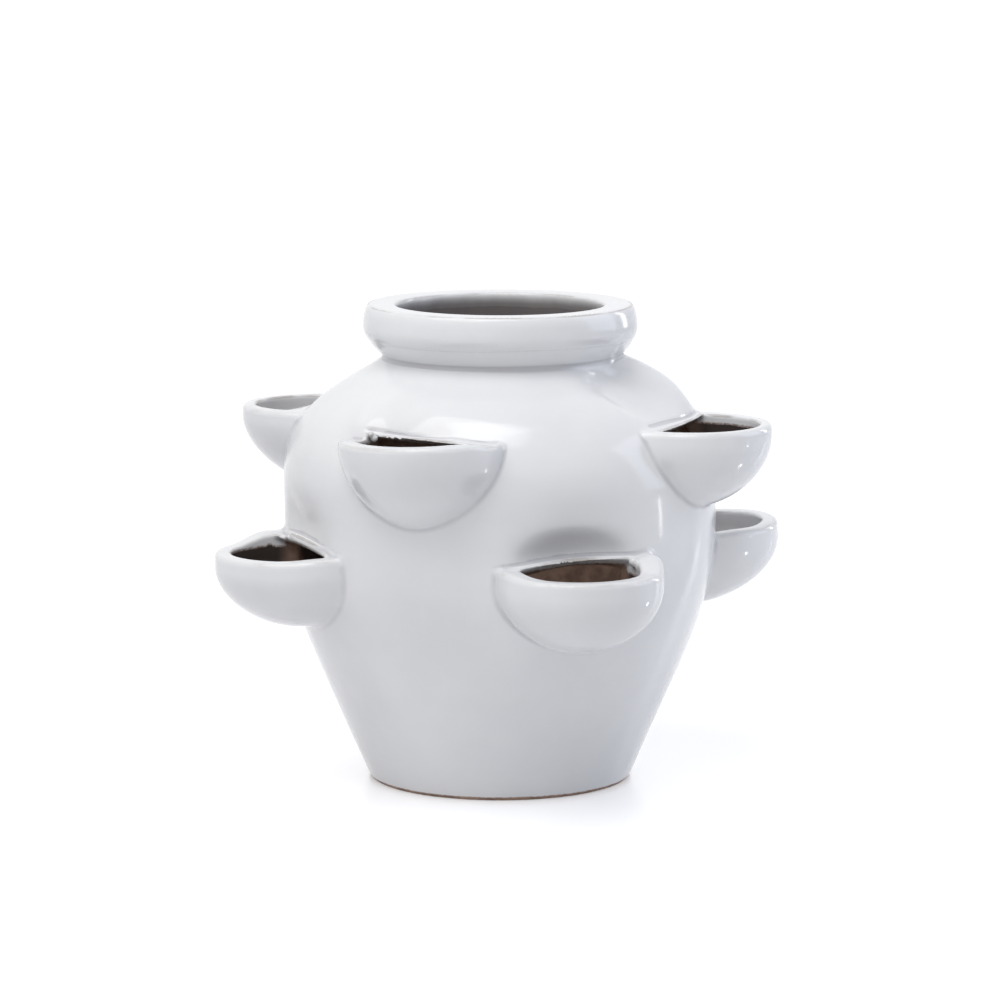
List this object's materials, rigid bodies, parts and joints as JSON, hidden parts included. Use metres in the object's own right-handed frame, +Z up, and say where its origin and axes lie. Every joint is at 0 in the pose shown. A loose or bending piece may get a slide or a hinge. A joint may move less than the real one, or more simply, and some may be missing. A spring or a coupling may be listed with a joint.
{
  "type": "strawberry jar planter",
  "caption": "Round-bellied glazed jar planter with a thick rolled rim and two staggered rows of cup-shaped pockets open to the soil inside.",
  "frame": {"origin": "centre of the foot, on the ground", "axes": "+Z up along the jar's axis; the first upper pocket faces -Y and +X is to its right"},
  "size_m": [0.3494, 0.3494, 0.3],
  "materials": {
    "glaze": "glossy white glaze",
    "bare_clay": "unglazed fired terracotta"
  },
  "bodies": {
    "root": {"base_slab": "bare_clay", "jar_wall": "glaze", "rim_collar": "glaze", "upper_pocket_front": "glaze", "upper_pocket_right": "glaze", "upper_pocket_back": "glaze", "upper_pocket_left": "glaze", "lower_pocket_front_right": "glaze", "lower_pocket_back_right": "glaze", "lower_pocket_back_left": "glaze", "lower_pocket_front_left": "glaze"}
  },
  "joints": []
}
